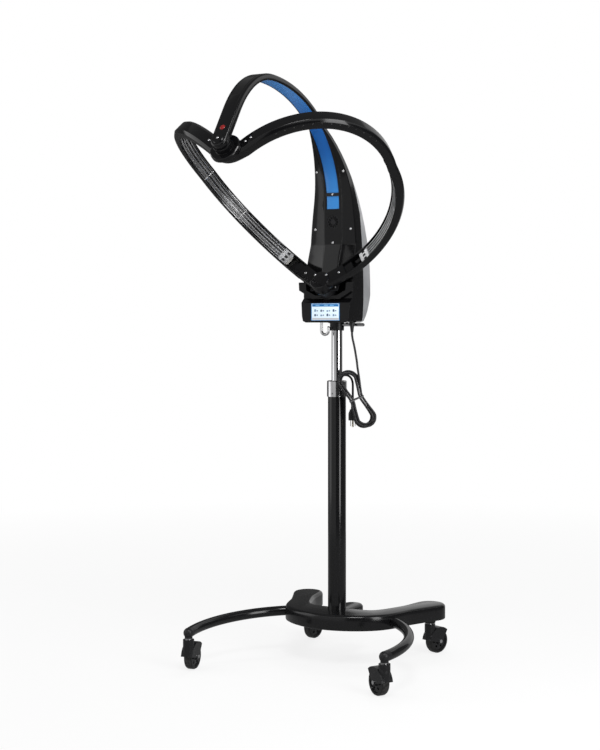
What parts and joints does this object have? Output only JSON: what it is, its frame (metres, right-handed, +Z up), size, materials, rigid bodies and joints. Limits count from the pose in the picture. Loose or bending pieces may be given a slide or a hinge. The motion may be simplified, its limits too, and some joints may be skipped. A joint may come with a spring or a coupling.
{
  "type": "orbiting hair heater on a stand",
  "caption": "Heart-shaped infrared ring heater on an arched arm and control head, carried by a height-adjustable column on a crescent base with bent tube legs and casters.",
  "frame": {"origin": "on the floor under the column's axis", "axes": "+Z up, -Y to the front where the client sits, +X to the machine's left-hand side as seen by the client"},
  "size_m": [0.6287, 0.8654, 1.558],
  "materials": {
    "black_paint": "gloss",
    "chrome": "polished",
    "steel": "brushed",
    "black_plastic": "satin",
    "grey_plastic": "satin",
    "matt_black": "matt",
    "blue_strip": "gloss",
    "screen": "gloss",
    "board": "satin",
    "nylon": "matt",
    "quartz": "polished",
    "ceramic": "matt",
    "reflector": "polished",
    "red_lens": "gloss",
    "tread": "matt",
    "cord": "satin"
  },
  "bodies": {
    "stand": {"base_casting": "black_paint", "left_leg": "black_paint", "right_leg": "black_paint", "leg_end_caps": "matt_black", "column_tube": "black_paint", "chrome_sleeve": "chrome", "guide_bush": "nylon", "piston_rod": "steel", "base_screws": "steel"},
    "lift": {"lift_tube": "chrome", "gas_barrel": "steel"},
    "valve_pin": {"valve_pin": "steel"},
    "head": {"head_collar": "matt_black", "mount_bracket": "steel", "main_housing": "black_plastic", "front_panel": "black_plastic", "rear_cover": "grey_plastic", "bay_tray": "matt_black", "pivot_plate": "black_paint", "screen_glass": "screen", "circuit_boards": "board", "vent_grille": "matt_black", "fan_frame": "matt_black", "light_strip": "blue_strip", "strip_clip": "matt_black", "arm_shell": "black_plastic", "arm_cover": "matt_black", "pivot_pin": "matt_black", "sensor_lens": "red_lens", "gear_motor": "steel", "cord_hook": "chrome", "cord_gland": "matt_black", "power_cord": "cord", "cord_hank": "cord", "cord_tie": "grey_plastic", "mains_plug": "cord", "head_screws": "steel"},
    "release_lever": {"release_lever": "chrome"},
    "fan_rotor": {"fan_rotor": "matt_black"},
    "ring": {"ring_shell": "black_plastic", "ring_yoke": "black_plastic", "hub_disc": "black_plastic", "reflector": "reflector", "heater_tubes": "quartz", "tube_holders": "ceramic", "wire_guard": "chrome", "ring_screws": "steel", "drive_shaft": "steel"},
    "caster_fl": {"caster_fl_fork": "matt_black", "caster_fl_pins": "steel"},
    "wheel_fl": {"caster_fl_wheel": "tread"},
    "caster_fr": {"caster_fr_fork": "matt_black", "caster_fr_pins": "steel"},
    "wheel_fr": {"caster_fr_wheel": "tread"},
    "caster_rl": {"caster_rl_fork": "matt_black", "caster_rl_pins": "steel"},
    "wheel_rl": {"caster_rl_wheel": "tread"},
    "caster_rr": {"caster_rr_fork": "matt_black", "caster_rr_pins": "steel"},
    "wheel_rr": {"caster_rr_wheel": "tread"}
  },
  "joints": [
    {"name": "lift_slide", "type": "slide", "parent": "stand", "child": "lift", "axis": [0, 0, 1], "range_m": [-0.115, 0.15]},
    {"name": "head_swivel", "type": "hinge", "parent": "lift", "child": "head", "pos_m": [0, 0, 0.92], "axis": [0, 0, 1], "range_deg": [-175, 175]},
    {"name": "valve_pin_slide", "type": "slide", "parent": "lift", "child": "valve_pin", "axis": [0, 0, 1], "range_m": [-0.0016, 0.0001]},
    {"name": "release_lever_swing", "type": "hinge", "parent": "head", "child": "release_lever", "pos_m": [-0.013, 0, 0.925], "axis": [0, 1, 0], "range_deg": [0, 6], "stiffness_Nm_per_rad": 1.5, "springref_deg": -8.59},
    {"name": "fan_spin", "type": "hinge", "parent": "head", "child": "fan_rotor", "pos_m": [0, -0.015, 1.207], "axis": [0, 1, 0], "continuous": true},
    {"name": "ring_orbit", "type": "hinge", "parent": "head", "child": "ring", "pos_m": [0, -0.075, 1.028], "axis": [0, -0.8387, 0.5446], "range_deg": [-22, 22]},
    {"name": "caster_fl_swivel", "type": "hinge", "parent": "stand", "child": "caster_fl", "pos_m": [-0.29149, -0.29696, 0.09], "axis": [0, 0, 1], "continuous": true},
    {"name": "caster_fl_roll", "type": "hinge", "parent": "caster_fl", "child": "wheel_fl", "pos_m": [-0.296, -0.27135, 0.034], "axis": [-0.9848, -0.1736, 0], "continuous": true},
    {"name": "caster_fr_swivel", "type": "hinge", "parent": "stand", "child": "caster_fr", "pos_m": [0.29149, -0.29696, 0.09], "axis": [0, 0, 1], "continuous": true},
    {"name": "caster_fr_roll", "type": "hinge", "parent": "caster_fr", "child": "wheel_fr", "pos_m": [0.26944, -0.28318, 0.034], "axis": [-0.5299, -0.848, 0], "continuous": true},
    {"name": "caster_rl_swivel", "type": "hinge", "parent": "stand", "child": "caster_rl", "pos_m": [-0.196, 0.188, 0.09], "axis": [0, 0, 1], "continuous": true},
    {"name": "caster_rl_roll", "type": "hinge", "parent": "caster_rl", "child": "wheel_rl", "pos_m": [-0.19238, 0.21375, 0.034], "axis": [-0.9903, 0.1392, 0], "continuous": true},
    {"name": "caster_rr_swivel", "type": "hinge", "parent": "stand", "child": "caster_rr", "pos_m": [0.196, 0.188, 0.09], "axis": [0, 0, 1], "continuous": true},
    {"name": "caster_rr_roll", "type": "hinge", "parent": "caster_rr", "child": "wheel_rr", "pos_m": [0.20532, 0.21227, 0.034], "axis": [-0.9336, 0.3584, 0], "continuous": true}
  ],
  "couplings": [
    {"joint": "valve_pin_slide", "follows": "release_lever_swing", "m_per_rad": -0.014}
  ]
}
